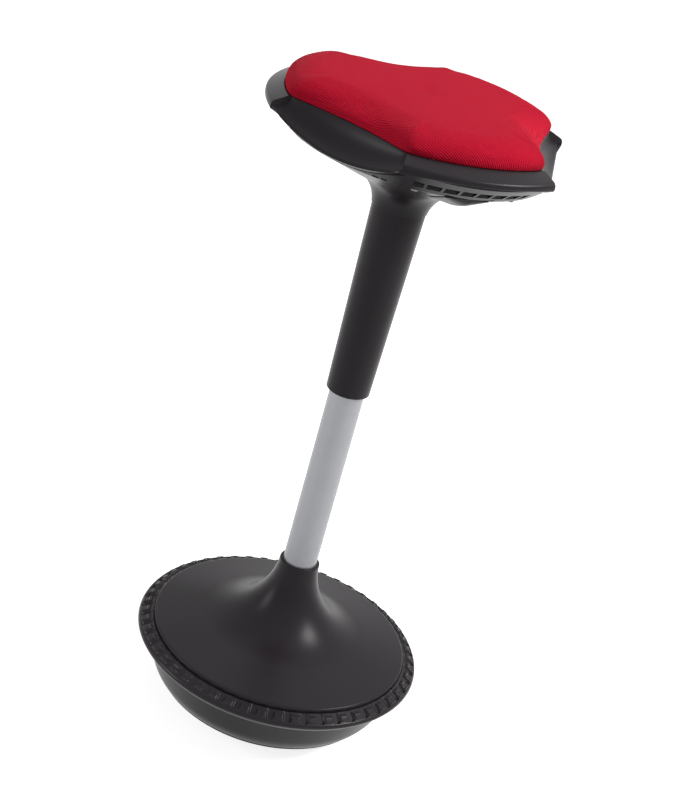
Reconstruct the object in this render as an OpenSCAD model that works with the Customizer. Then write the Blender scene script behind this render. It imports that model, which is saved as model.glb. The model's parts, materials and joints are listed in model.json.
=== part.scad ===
// Bar stool that rocks on a weighted, domed base and adjusts on a gas spring.
// Origin on the floor at the column's axis, +Z up, millimetres.
// One hand recess of the seat faces +X.

/* [Rocker base] */
// Radius of the flat foot in the middle of the dome
foot_r = 32; // [20:1:45]
// Distance from the tread's rim in to the centre of the dome's corner
dome_corner_in = 79.8; // [76:0.1:84]
// Radius of the corner between bottom and wall
dome_corner_r = 56.5; // [54:0.5:57]
// Height of that corner's centre
dome_corner_z = 68; // [67.5:0.1:70]
// Lean of the dome's wall from the vertical, degrees
dome_lean = 21; // [18:0.5:24]
// Height of the dome's wall
dome_top_z = 82; // [78:0.5:84]
// Wall of the base shell
shell_wall = 3.5; // [3:0.1:4]
// Thickness of the rubber sole
sole_t = 5; // [4:0.1:6]
// Angle on the corner where the sole ends, degrees below the horizontal
sole_angle = 48; // [42:1:54]
// Radius of the innermost groove of the sole
groove_first_r = 52; // [46:1:56]
// Spacing of the sole's grooves
groove_pitch = 20; // [17:1:20]
// Width of a groove
groove_w = 3; // [2:0.1:4]
// Depth of a groove
groove_d = 1.5; // [1:0.1:2]
// Distance from the tread's rim in to the edge of the iron ballast disc
ballast_in = 71; // [67:1:79]
// Thickness of the ballast disc
ballast_t = 12; // [10:0.5:14]
// Height of the ballast's underside
ballast_z = 24; // [23:0.5:26]

/* [Cover and tread] */
// Outer radius of the tread ring
base_r = 183; // [181:0.5:188]
// Height of the tread's widest line
rim_z = 91.5; // [90:0.5:93]
// Width of the tread ring that shows round the cover
tread_w = 18.7; // [17:0.1:20]
// Height of the cover's edge
cover_edge_z = 105.4; // [104:0.1:107]
// Wall of the cover
cover_wall = 3; // [2.5:0.1:3.4]
// Outer radius of the collar round the tube
collar_r = 25.6; // [25:0.1:27]
// Height of the collar's top
collar_top_z = 213.5; // [211:0.5:216]
// Radius of the cone's flare
flare_r = 100; // [94:1:104]
// Number of pockets round the tread
tread_count = 52; // [44:1:56]
// Length of a tread pocket along the slope
pocket_len = 12.6; // [10:0.1:13]
// Width of a tread pocket
pocket_w = 10.5; // [7:0.5:11]
// Depth of a tread pocket
pocket_d = 3; // [2:0.1:3.4]

/* [Column] */
// Outer radius of the silver tube
tube_r = 21.5; // [21:0.1:22]
// Wall of the silver tube
tube_wall = 2; // [1.8:0.1:2.2]
// Height of the tube's lower end
tube_z = 30; // [28:0.5:31]
// Height of the tube's upper end
tube_top_z = 477; // [473:0.5:478]
// Outer radius of the pressure cylinder
cyl_r = 14; // [13.5:0.1:14.3]
// Wall of the pressure cylinder
cyl_wall = 2; // [1.6:0.1:2.4]
// Height of the cylinder's lower end with the seat raised
cyl_z = 300; // [299:0.5:304]
// Height of the cylinder's upper end
cyl_top_z = 760; // [757:0.5:761]
// Radius of the piston rod
rod_r = 5; // [4.5:0.1:5.4]
// Length of the guide bush inside the tube
bush_len = 80; // [70:1:84]
// Running clearance of the sliding fits
fit_gap = 0.05; // [0.02:0.01:0.08]

/* [Sleeve and hub] */
// Height of the sleeve's lower end with the seat raised
sleeve_z = 459.4; // [457:0.2:462]
// Outer radius of the sleeve's lower end
sleeve_r = 26.7; // [26:0.1:27.5]
// Growth of the sleeve's radius from its lower to its upper end
sleeve_taper = 5.3; // [4.5:0.1:5.6]
// Wall of the sleeve
sleeve_wall = 2.2; // [1.8:0.1:2.4]
// Height of the seam between sleeve and hub
seam_z = 698.7; // [697:0.2:700]
// Outer radius of the hub where its flare starts
hub_r = 32.5; // [32.3:0.1:33.5]
// Radius of the hub's flare
hub_flare_r = 45; // [42:1:46]
// Height of the flare's centre
hub_flare_z = 692; // [690:0.5:693]

/* [Seat shells] */
// Distance of the flange's outer edge from the column, at the middle of a lobe
seat_r = 179; // [177:0.5:181]
// How far behind the column the centre of a lobe's outer arc lies
lobe_shift = 37; // [30:1:44]
// Wall of the seat shells
pan_wall = 3; // [2.6:0.1:3.2]
// Width of the flange round a lobe
flange_w = 18; // [17:0.1:18.6]
// Height of the shelf that the cushion stands on
shelf_z = 809.6; // [809.2:0.1:809.8]
// Height of the flange where it meets the cushion
flange_top_z = 810.3; // [810:0.1:811]
// Height of the flange's outer ridge, before rounding
ridge_z = 800.3; // [799:0.1:801.5]
// Rounding of the ridge
ridge_round = 3; // [2:0.1:3.4]
// Height of the flange's lower edge
skirt_z = 795.5; // [795:0.1:796]
// Distance from the seat's edge in to the turn between the bowl's floor and its rim
bowl_turn_in = 29; // [27:0.1:31]
// Height of that turn
bowl_turn_z = 770.6; // [769.6:0.1:771.4]
// Slope of the bowl's rim, degrees
bowl_rim_slope = 40.5; // [39:0.1:41]
// Radius of the turn between floor and rim
bowl_turn_round = 12; // [8:1:20]

/* [Hand recesses] */
// Half of the angle that a recess spans, degrees
recess_half = 30; // [29.5:0.1:30.5]
// Distance from the seat's edge in to a recess's rim
recess_in = 24; // [23.5:0.1:25]
// Distance from the seat's edge in to the rim at the ends of a recess
recess_end_in = 26; // [25.5:0.1:27]
// Height of the rim at the middle of a recess
recess_rim_z = 777.2; // [776.6:0.1:778]
// Height of the rim at the ends of a recess
recess_end_z = 796.2; // [795.8:0.1:797]
// Height of the band under the rim
band_h = 6.2; // [5.8:0.1:6.8]
// How far the band slants in towards its lower edge
band_in = 5; // [4.4:0.1:5.6]
// Number of vent slots under each lobe
vent_count = 8; // [6:1:8]
// Angle from one vent slot to the next, degrees
vent_pitch = 6.8; // [6.5:0.1:6.9]
// Angle of a bar between two vent slots, degrees
vent_bar = 1.1; // [1:0.1:1.6]
// Distance from the seat's edge in to the vent slots' inner ends
vent_in = 22; // [21.5:0.1:22.5]
// Length of a vent slot across the rim
vent_len = 9; // [8:0.1:9.4]
// Length of the small vent slots beside a recess
low_vent_len = 4; // [3:0.1:4.2]

/* [Cushion] */
// Distance from the seat's edge in to the cushion
cushion_in = 19; // [18.5:0.1:19.5]
// Distance from the seat's edge in to the cushion at its notches
notch_in = 45.6; // [45:0.1:46.4]
// Half of the angle that a notch spans, degrees
notch_half = 29.8; // [29:0.1:30.2]
// Height of the cushion's crown
crown_z = 837.6; // [836.6:0.2:842]
// Height of the lobes' tops where their edge begins to fall
brow_z = 835.8; // [833:0.2:836.6]
// Height of the notches' tops where their edge begins to fall
notch_brow_z = 828; // [826:0.2:833]
// How far the cushion swells over the foot of its notches
notch_swell = 10; // [6:0.5:11]
// Radius of the cushion's edge rounding, across
brow_r = 19.5; // [17:0.5:21]
// How far the sides draw in at the bottom
draw_in = 1.6; // [1:0.1:2.4]
// Thickness of the knitted cover
cover_cloth_t = 1.4; // [1:0.1:1.8]
// Thickness of the board inside the cushion
board_t = 6; // [5:0.1:7]

/* [Release lever] */
// Bearing of the lever under its lobe, degrees
lever_az = -60; // [-60, 60, 180]
// Distance of the lever's pivot from the column's axis
pivot_x = 26; // [24:0.5:28]
// Height of the lever's pivot
pivot_z = 766.5; // [766:0.1:767]
// Thickness of the lever arm
arm_t = 5; // [4:0.1:5.4]
// Width of the lever arm
arm_w = 12; // [9:0.5:14]
// Distance from the seat's edge in to the paddle's middle
paddle_in = 50; // [48:0.5:52]
// Length of the paddle along the bowl
paddle_len = 40; // [34:0.5:42]
// Width of the paddle
paddle_w = 54; // [46:1:56]
// How far the paddle stands out below the bowl
paddle_drop = 6.5; // [5:0.5:8]
// Gap between the paddle and its window
window_gap = 2.2; // [2:0.1:2.6]

/* [Fasteners] */
// Shank radius of the four base bolts
base_bolt_r = 4; // [3.5:0.1:4.4]
// Distance from the ballast's edge in to the base bolts
base_bolt_in = 44; // [38:0.5:50]
// Shank radius of the four seat plate bolts
seat_bolt_r = 3; // [2.5:0.1:3.4]
// Shank radius of the small screws
screw_r = 2; // [1.6:0.1:2.2]
// Distance from the seat's edge in to the board screws
board_screw_in = 79; // [73:1:87]
// Distance from the seat's edge in to the bowl screws
bowl_screw_in = 34; // [33:0.5:35]

/* [Hidden] */

$fn = 96;
overrun = 1;
lobe_count = 3;
lobe_turn = 360 / lobe_count;
arc_steps = 8;

// Dome
corner_r_at = base_r - dome_corner_in;
// The bottom's sphere meets the foot's edge and runs smoothly into the corner
sphere_lift = pow(dome_corner_z, 2) - pow(dome_corner_r, 2);
sphere_fit = pow(dome_corner_r, 2) + pow(foot_r, 2) - pow(corner_r_at, 2) - pow(dome_corner_z, 2);
sphere_root = pow(dome_corner_r * sphere_fit, 2)
            + sphere_lift * (pow(sphere_fit, 2) + 4 * pow(dome_corner_z * foot_r, 2));
dome_sphere_r = (sqrt(sphere_root) - dome_corner_r * sphere_fit) / (2 * sphere_lift);
sphere_z = sqrt(pow(dome_sphere_r, 2) - pow(foot_r, 2));
dome_slope = asin(corner_r_at / (dome_sphere_r - dome_corner_r));
sole_step = 0.8;
shell_step_turn = 5;
shell_flange_t = 3;
cover_r = base_r - tread_w;
shell_flange_under = 22.3;
shell_flange_in = cover_r - shell_flange_under;
shell_flange_gap = 9;
shell_flange_out = base_r - shell_flange_gap;
ballast_r = base_r - ballast_in;
support_ring_in = 16;
support_ring_r = ballast_r - support_ring_in;
support_ring_w = 4;
boss_wall = 5;
groove_count = 5;

// Base plate and bolts
base_plate_in = 17;
base_plate_r = ballast_r - base_plate_in;
base_plate_t = 3;
base_plate_z = ballast_z + ballast_t;
socket_wall = 4;
socket_len = 36;
ballast_bore_gap = 5;
ballast_bore_r = tube_r + socket_wall + ballast_bore_gap;
base_bolt_count = 4;
base_bolt_circle = ballast_r - base_bolt_in;
base_bolt_angle = 45;
bolt_slack = 0.5;
bolt_head_share = 1.6;
bolt_head_t = 5;
base_bolt_tip_z = 13;
base_bolt_len = base_plate_z + base_plate_t - base_bolt_tip_z;

// Cover
flare_x = collar_r + flare_r;
flare_above = 2;
flare_z = collar_top_z + flare_above;
flare_start = 182.2;
flare_inner_start = 192;
collar_gap = 0.4;
collar_round = 2;
cover_lip = 5;
cover_edge_round = 3;
cover_edge_bevel = 1;
cover_edge_dip = 0.1;
cover_edge_rise = 0.4;
cover_edge_fall = 1.2;
hook_count = 6;
hook_clear = 3;
hook_r_at = shell_flange_in - hook_clear;
hook_w = 14;
hook_t = 3;
hook_catch = 2;
hook_turn = 15;

// Tread
tread_ledge = 6.3;
tread_in_r = cover_r - tread_ledge;
tread_start = 0.8;
tread_groove_w = 2.4;
tread_groove_d = 2.6;
tread_top_r = cover_r + tread_groove_w;
tread_top_z = cover_edge_z - tread_groove_d;
tread_brow_in = 1.6;
tread_brow_up = 3.6;
tread_brow_r = base_r - tread_brow_in;
tread_brow_z = rim_z + tread_brow_up;
tread_rim_half = 1;
tread_under_in = 2;
tread_under_down = 4;
tread_bevel = 1;
tread_lip_in = 7.7;
tread_lip_r = base_r - tread_lip_in;
tread_lip_z = dome_top_z;
tread_foot_z = dome_top_z + shell_flange_t;

// Bearing at the foot of the tube
plug_t = 6;
race_t = 2;
race_r = 17;
race_bore_r = 8;
ball_r = 2;
ball_count = 10;
ball_circle = 12.5;
ball_gap = 0.1;
cage_t = 2;
cage_in_r = 9.2;
cage_out_r = 15.8;
cage_slack = 0.2;
rod_end_r = 4;
plug_bore_gap = 0.6;
plug_bore_r = rod_end_r + plug_bore_gap;
plug_top_z = tube_z + plug_t;
ball_z = plug_top_z + race_t + ball_gap + ball_r;
upper_race_z = ball_z + ball_r + ball_gap;
rod_shoulder_z = upper_race_z + race_t;
clip_t = 2;
clip_r = 7.5;
clip_gap = 0.5;
rod_tail = 3;
bump_stop_len = 17;
bump_stop_r = 11;

// Gas spring
cyl_in_r = cyl_r - cyl_wall;
crimp_t = 2;
crimp_lip = 1;
seal_len = 30;
seal_top_z = cyl_z + crimp_t + seal_len;
piston_gap = 0.5;
piston_z = seal_top_z + piston_gap;
piston_len = 16;
rod_tip = 6;
taper_len = 42;
taper_fall = 0.6;
valve_len = 38;
valve_bore_len = 30;
pin_r = 4;
pin_len = 27;
pin_proud = 4;
pin_top_z = cyl_top_z + pin_proud;
bush_lip_t = 2;

// Sleeve
sleeve_lip = 3;
sleeve_lip_gap = 0.7;
sleeve_bevel = 1;
spigot_len = 10;
spigot_gap = 0.3;
hub_wall = pan_wall;

// Seat outline
lobe_arc_r = seat_r + lobe_shift;
lobe_half = lobe_turn / 2 - recess_half;
hub_flare_x = hub_r + hub_flare_r;
bowl_turn = [seat_r - bowl_turn_in, bowl_turn_z];
flare_centre = [hub_flare_x, hub_flare_z];
bowl_slope = atan2(bowl_turn[1] - hub_flare_z, bowl_turn[0] - hub_flare_x)
             - asin(hub_flare_r / norm(bowl_turn - flare_centre));
floor_start = flare_centre + hub_flare_r * [-sin(bowl_slope), cos(bowl_slope)];
turn_run = bowl_turn_round * tan((bowl_rim_slope - bowl_slope) / 2);
turn_centre = bowl_turn - turn_run * [cos(bowl_slope), sin(bowl_slope)]
              + bowl_turn_round * [-sin(bowl_slope), cos(bowl_slope)];
skirt_gap = 0.4;
skirt_cover = 2.4;
tray_lip = 1;
tray_lip_drop = 0.4;
tray_bite = 2;
shelf_hole_r = 40;
reach_over = 8;
reach_r = seat_r + reach_over;
flange_slope = atan2(flange_top_z - ridge_z, flange_w - tray_lip);
end_wall_drop = 5;
end_wall_in = 4;
end_wall_w = 9.5;
end_wall_out = 0.5;
end_wall_back = 1.2;

// Recess
wedge_gap = 0.2;
wall_turn_gap = 0.15;
wedge_r = reach_r / cos(recess_half + end_wall_back + wedge_gap);
wedge_z = 740;
shell_gap = 0.15;
room_gap = 0.5;
recess_x = seat_r - recess_in;
recess_end_x = seat_r - recess_end_in;
recess_lean = atan2(recess_x - recess_end_x, recess_end_z - recess_rim_z);
recess_rise = norm([recess_x - recess_end_x, recess_end_z - recess_rim_z]);
sweep_r = (pow(recess_end_x * tan(recess_half), 2) + pow(recess_rise, 2)) / (2 * recess_rise);
cove_back = 0.2;
cove_bend_up = 9;
cove_bend_in = 15;
cove_steps = 10;
cove_inner_end = 0.8;
band_over = 0.5;
sweep_fill = 50;
low_vent_count = 2;
low_vent_at = 21.8;
low_vent_in = 29.5;
low_vent_pitch = 3.7;
end_vent_cut = 1.6;

// Cushion
ring_steps = 48;
brow_steps = 5;
crown_steps = 3;
side_rise_share = 0.26;
board_gap = 0.5;
cloth_wrap = 22;
notch_round = 3.5;
foam_gap = 0.6;
brow_power = 1.5;
notch_r = seat_r - notch_in;
cushion_arc_r = lobe_arc_r - cushion_in;
foot_rise_share = 0.5;
foot_draw_share = 0.3;

// Seat plate, in a frame turned to the lever's bearing
plate_half_x = 64;
plate_half_y = 46;
plate_t = 3;
plate_z = 783;
channel_half_y = 17.5;
channel_half_x = 36;
channel_z = 745;
channel_wall = 2.5;
plate_socket_r = 18;
plate_socket_z = 724;
seat_bolt_x = 54;
seat_bolt_y = 36;
seat_bolt_head_t = 3;
seat_boss_r = 7;
seat_bolt_bite = 12;

// Lever
pivot_pin_r = 3;
pivot_boss_r = 6;
pivot_boss_half = 9;
arm_inner = 7;
arm_gap = 0.3;
arm_cap = 2;
spring_gap = 1;
spring_r = 5;
spring_len = 4;
paddle_t = 6;
paddle_round = 6;
keel_r = 14;
keel_half = 5;
paddle_x = seat_r - paddle_in;
arm_foot_w = 18;

// Screws
screw_head_r = 3.8;
screw_head_t = 2;
board_screw_circle = seat_r - board_screw_in;
board_screw_count = 6;
board_screw_bite = 4;
bowl_screw_circle = seat_r - bowl_screw_in;
bowl_screw_off = 23.5;
screw_boss_r = 4.6;
screw_boss_h = 6;
screw_bite = 9;

function polar(r, a) = [r * cos(a), r * sin(a)];
function arc(c, r, a0, a1, n = arc_steps) =
    [for (i = [0 : n]) c + polar(r, a0 + (a1 - a0) * i / n)];
function flip(list) = [for (i = [len(list) - 1 : -1 : 0]) list[i]];

// Dome's outline, drawn inwards by t: bottom, corner up to angle stop below the horizontal
function dome_bottom(t) =
    [for (i = [0 : arc_steps])
        let (a = t > 0 ? dome_slope * i / arc_steps
                       : asin(foot_r / dome_sphere_r)
                         + (dome_slope - asin(foot_r / dome_sphere_r)) * i / arc_steps)
        [(dome_sphere_r - t) * sin(a), sphere_z - (dome_sphere_r - t) * cos(a)]];
function dome_corner(t, from, to) =
    arc([corner_r_at, dome_corner_z], dome_corner_r - t, from, to);
function dome_wall_top(t) =
    let (p = [corner_r_at, dome_corner_z] + polar(dome_corner_r - t, -dome_lean))
    [p[0] + (dome_top_z - p[1]) * tan(dome_lean), dome_top_z];
function sphere_bottom_z(r) = sphere_z - sqrt(pow(dome_sphere_r, 2) - r * r);

module ring(r_out, r_in, z, h) {
    translate([0, 0, z]) difference() {
        cylinder(r = r_out, h = h);
        translate([0, 0, -overrun]) cylinder(r = r_in, h = h + 2 * overrun);
    }
}
module around(count, r, start = 0) {
    for (i = [0 : count - 1]) rotate(start + i * 360 / count) translate([r, 0, 0]) children();
}
module hex_bolt(r, head_t, len) {
    cylinder(r = r * bolt_head_share, h = head_t, $fn = 6);
    translate([0, 0, -len]) cylinder(r = r, h = len + overrun, $fn = 32);
}
module screw(head_r, head_t, r, len) {
    translate([0, 0, -head_t]) cylinder(r = head_r, h = head_t, $fn = 32);
    translate([0, 0, -overrun]) cylinder(r = r, h = len + overrun, $fn = 24);
}

// Rocker base

module rubber_sole() {
    color([0.10, 0.10, 0.11]) difference() {
        rotate_extrude() polygon(concat(
            [[0, 0]], dome_bottom(0), dome_corner(-sole_step, dome_slope - 90, -sole_angle),
            flip(dome_corner(sole_t, dome_slope - 90, -sole_angle)), flip(dome_bottom(sole_t))));
        for (i = [0 : groove_count - 1]) {
            r = groove_first_r + i * groove_pitch;
            if (r < corner_r_at)
                ring(r + groove_w / 2, r - groove_w / 2, -overrun,
                     overrun + sphere_bottom_z(r) + groove_d);
        }
    }
}

module shell_inside() {
    rotate_extrude() polygon(concat(dome_bottom(sole_t),
        dome_corner(sole_t, dome_slope - 90, -sole_angle),
        dome_corner(shell_wall / 2, -sole_angle, -dome_lean),
        [[0, dome_top_z]]));
}

module base_shell() {
    t = sole_t + shell_wall;
    step_angle = shell_step_turn - sole_angle;
    color([0.16, 0.16, 0.17]) {
        difference() {
            union() {
                rotate_extrude() polygon(concat(
                    dome_bottom(sole_t), dome_corner(sole_t, dome_slope - 90, -sole_angle),
                    dome_corner(0, -sole_angle, -dome_lean), [dome_wall_top(0)],
                    [dome_wall_top(shell_wall)],
                    flip(dome_corner(shell_wall, step_angle, -dome_lean)),
                    flip(dome_corner(t, dome_slope - 90, step_angle)), flip(dome_bottom(t))));
                ring(shell_flange_out, shell_flange_in, dome_top_z, shell_flange_t);
                intersection() {
                    shell_inside();
                    union() {
                        ring(support_ring_r + support_ring_w, support_ring_r, 0, ballast_z);
                        around(base_bolt_count, base_bolt_circle, base_bolt_angle)
                            cylinder(r = base_bolt_r + boss_wall, h = ballast_z);
                    }
                }
            }
            around(base_bolt_count, base_bolt_circle, base_bolt_angle)
                translate([0, 0, base_bolt_tip_z - bolt_slack])
                    cylinder(r = base_bolt_r, h = ballast_z, $fn = 32);
        }
    }
}

module ballast_disc() {
    color([0.30, 0.30, 0.31]) difference() {
        ring(ballast_r, ballast_bore_r, ballast_z, ballast_t);
        around(base_bolt_count, base_bolt_circle, base_bolt_angle)
            translate([0, 0, ballast_z - overrun])
                cylinder(r = base_bolt_r + bolt_slack, h = ballast_t + 2 * overrun, $fn = 32);
    }
}

module base_plate() {
    color([0.45, 0.46, 0.48]) difference() {
        union() {
            translate([0, 0, base_plate_z]) cylinder(r = base_plate_r, h = base_plate_t);
            translate([0, 0, base_plate_z]) cylinder(r = tube_r + socket_wall, h = socket_len);
        }
        translate([0, 0, base_plate_z - overrun])
            cylinder(r = tube_r, h = socket_len + 2 * overrun);
        around(base_bolt_count, base_bolt_circle, base_bolt_angle)
            translate([0, 0, base_plate_z - overrun])
                cylinder(r = base_bolt_r + bolt_slack, h = base_plate_t + 2 * overrun, $fn = 32);
    }
}

module base_bolts() {
    color([0.55, 0.56, 0.58]) around(base_bolt_count, base_bolt_circle, base_bolt_angle)
        translate([0, 0, base_plate_z + base_plate_t])
            hex_bolt(base_bolt_r, bolt_head_t, base_bolt_len);
}

// Tread ring with one pocket for each pitch

tread_fall = atan2(tread_top_z - tread_brow_z, tread_brow_r - tread_top_r);
module tread_pocket() {
    translate([(tread_top_r + tread_brow_r) / 2, 0, (tread_top_z + tread_brow_z) / 2])
        rotate([0, tread_fall, 0]) translate([0, 0, -pocket_d])
            translate([-pocket_len / 2, -pocket_w / 2, 0])
                cube([pocket_len, pocket_w, pocket_d + overrun]);
}

module tread_ring() {
    color([0.11, 0.11, 0.12]) difference() {
        rotate_extrude() polygon(concat(
            [[tread_in_r, tread_foot_z], [tread_in_r, tread_top_z - cover_lip],
             [tread_top_r - tread_bevel, tread_top_z - cover_lip],
             [tread_top_r - tread_bevel, tread_top_z - tread_bevel],
             [tread_top_r, tread_top_z], [tread_brow_r, tread_brow_z],
             [base_r, rim_z + tread_rim_half], [base_r, rim_z - tread_rim_half],
             [base_r - tread_under_in, rim_z - tread_under_down],
             [tread_lip_r + tread_bevel, tread_lip_z + tread_bevel],
             [tread_lip_r, tread_lip_z], [shell_flange_out, tread_lip_z],
             [shell_flange_out, tread_foot_z]]));
        around(tread_count, 0, tread_start) tread_pocket();
    }
}

// Cover: collar, flared cone and shallow disc

cover_reach = [cover_r - cover_edge_round - flare_x, cover_edge_z - cover_edge_dip - flare_z];
cover_slope = acos(flare_r / norm(cover_reach)) - atan2(cover_reach[0], -cover_reach[1]);
flare_end = [flare_x + flare_r * cos(270 - cover_slope), flare_z + flare_r * sin(270 - cover_slope)];
function cover_slope_z(r) = flare_end[1] - (r - flare_end[0]) * tan(cover_slope);
function cover_top() = concat(
    arc([collar_r - collar_round, collar_top_z - collar_round], collar_round, 90, 0, arc_steps / 2),
    arc([flare_x, flare_z], flare_r, flare_start, 270 - cover_slope, 2 * arc_steps),
    [[cover_r - cover_edge_round, cover_slope_z(cover_r - cover_edge_round)],
     [cover_r - cover_edge_bevel, cover_edge_z + cover_edge_rise],
     [cover_r, cover_edge_z - cover_edge_fall]]);

module base_cover() {
    inner_r = cover_r - cover_wall;
    bend_r = inner_r - cover_edge_bevel;
    color([0.17, 0.17, 0.18]) {
        rotate_extrude() polygon(concat(
            [[tube_r + collar_gap, collar_top_z]], cover_top(),
            [[cover_r, tread_top_z - cover_lip], [inner_r, tread_top_z - cover_lip],
             [bend_r, cover_slope_z(bend_r) - cover_wall]],
            arc([flare_x, flare_z], flare_r + cover_wall, 270 - cover_slope, flare_inner_start,
                2 * arc_steps),
            [[tube_r + collar_gap, flare_z + (flare_r + cover_wall) * sin(flare_inner_start)]]));
        around(hook_count, hook_r_at, hook_turn) cover_hook();
    }
}

module cover_hook() {
    hook_top = cover_slope_z(hook_r_at) - cover_wall / 2;
    hook_foot = dome_top_z - hook_t;
    translate([-hook_t, -hook_w / 2, hook_foot]) cube([hook_t, hook_w, hook_top - hook_foot]);
    translate([-hook_t, -hook_w / 2, hook_foot])
        cube([shell_flange_in - hook_r_at + hook_t + hook_catch, hook_w, hook_t]);
}

// Column

module outer_tube() {
    color([0.68, 0.69, 0.71]) ring(tube_r, tube_r - tube_wall, tube_z, tube_top_z - tube_z);
}

module tube_plug() {
    color([0.50, 0.50, 0.52]) ring(tube_r - tube_wall, plug_bore_r, tube_z, plug_t);
}

module lower_race() {
    color([0.72, 0.72, 0.74]) ring(race_r, race_bore_r, plug_top_z, race_t);
}

module guide_bush() {
    color([0.22, 0.22, 0.23]) difference() {
        union() {
            translate([0, 0, tube_top_z - bush_len])
                cylinder(r = tube_r - tube_wall, h = bush_len + bush_lip_t);
            translate([0, 0, tube_top_z]) cylinder(r = tube_r, h = bush_lip_t);
        }
        translate([0, 0, tube_top_z - bush_len - overrun])
            cylinder(r = cyl_r + fit_gap, h = bush_len + bush_lip_t + 2 * overrun);
    }
}

module bearing_cage() {
    color([0.75, 0.66, 0.40]) difference() {
        ring(cage_out_r, cage_in_r, ball_z - cage_t / 2, cage_t);
        around(ball_count, ball_circle)
            translate([0, 0, ball_z - cage_t])
                cylinder(r = ball_r + cage_slack, h = 2 * cage_t, $fn = 32);
    }
}

module bearing_balls() {
    color([0.80, 0.80, 0.82]) around(ball_count, ball_circle)
        translate([0, 0, ball_z]) sphere(r = ball_r, $fn = 32);
}

module upper_race() {
    color([0.72, 0.72, 0.74]) ring(race_r, rod_end_r, upper_race_z, race_t);
}

module rod_clip() {
    color([0.40, 0.40, 0.42])
        ring(clip_r, rod_end_r, tube_z - clip_gap - clip_t, clip_t);
}

module piston_rod() {
    foot_z = tube_z - clip_gap - clip_t - rod_tail;
    color([0.78, 0.78, 0.80]) union() {
        translate([0, 0, rod_shoulder_z]) cylinder(r = rod_r, h = piston_z - rod_shoulder_z);
        translate([0, 0, foot_z])
            cylinder(r = rod_end_r, h = piston_z + piston_len + rod_tip - foot_z);
    }
}

module bump_stop() {
    color([0.12, 0.12, 0.13]) ring(bump_stop_r, rod_r, rod_shoulder_z, bump_stop_len);
}

module piston_head() {
    color([0.60, 0.60, 0.62]) ring(cyl_in_r - fit_gap, rod_end_r, piston_z, piston_len);
}

module gas_cylinder() {
    color([0.14, 0.14, 0.15]) rotate_extrude() polygon([
        [cyl_in_r - crimp_lip, cyl_z], [cyl_r, cyl_z], [cyl_r, cyl_top_z - taper_len],
        [cyl_r - taper_fall, cyl_top_z], [cyl_in_r, cyl_top_z],
        [cyl_in_r, cyl_z + crimp_t], [cyl_in_r - crimp_lip, cyl_z + crimp_t]]);
}

module rod_seal() {
    color([0.24, 0.24, 0.26]) ring(cyl_in_r, rod_r + fit_gap, cyl_z + crimp_t, seal_len);
}

module valve_body() {
    color([0.62, 0.58, 0.45]) difference() {
        translate([0, 0, cyl_top_z - valve_len]) cylinder(r = cyl_in_r, h = valve_len);
        translate([0, 0, cyl_top_z - valve_bore_len])
            cylinder(r = pin_r + fit_gap, h = valve_bore_len + overrun, $fn = 48);
    }
}

module valve_pin() {
    color([0.80, 0.80, 0.82]) translate([0, 0, pin_top_z - pin_len])
        cylinder(r = pin_r, h = pin_len, $fn = 48);
}

// Sleeve

module sleeve() {
    top_r = sleeve_r + sleeve_taper;
    color([0.13, 0.13, 0.14]) rotate_extrude() polygon([
        [tube_r + sleeve_lip_gap, sleeve_z], [sleeve_r - sleeve_bevel, sleeve_z],
        [sleeve_r, sleeve_z + sleeve_bevel],
        [top_r, seam_z], [hub_r - hub_wall - spigot_gap, seam_z],
        [hub_r - hub_wall - spigot_gap, seam_z + spigot_len],
        [hub_r - hub_wall - spigot_gap - sleeve_wall, seam_z + spigot_len],
        [hub_r - hub_wall - spigot_gap - sleeve_wall, seam_z - sleeve_wall],
        [sleeve_r - sleeve_wall, sleeve_z + sleeve_lip],
        [tube_r + sleeve_lip_gap, sleeve_z + sleeve_lip]]);
}

// Seat shells: bowl outline with t of wall taken off

function bowl_line(t, out_r) =
    let (far = turn_centre + polar(bowl_turn_round - t, bowl_rim_slope - 90))
    concat(
        arc(flare_centre, hub_flare_r + t,
            180 - asin((seam_z - hub_flare_z) / (hub_flare_r + t)), 90 + bowl_slope),
        arc(turn_centre, bowl_turn_round - t, bowl_slope - 90, bowl_rim_slope - 90),
        [[out_r, far[1] + (out_r - far[0]) * tan(bowl_rim_slope)]]);

// Plan of the three lobes, drawn in by d
module lobe_plan(d) {
    for (i = [0 : lobe_count - 1]) rotate(lever_az + i * lobe_turn) intersection() {
        translate([-lobe_shift, 0]) circle(r = lobe_arc_r - d, $fn = 192);
        polygon([[0, 0], polar(wedge_r, -lobe_turn / 2), [wedge_r, -wedge_r],
                 [wedge_r, wedge_r], polar(wedge_r, lobe_turn / 2)]);
    }
}

module wedge(half, top_z) {
    translate([0, 0, wedge_z]) linear_extrude(top_z - wedge_z)
        polygon([[0, 0], polar(wedge_r, -half), polar(wedge_r, half)]);
}
module per_lobe() {
    for (i = [0 : lobe_count - 1]) rotate(lever_az + i * lobe_turn) children();
}
module per_recess() {
    for (i = [0 : lobe_count - 1]) rotate(i * lobe_turn) children();
}

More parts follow.
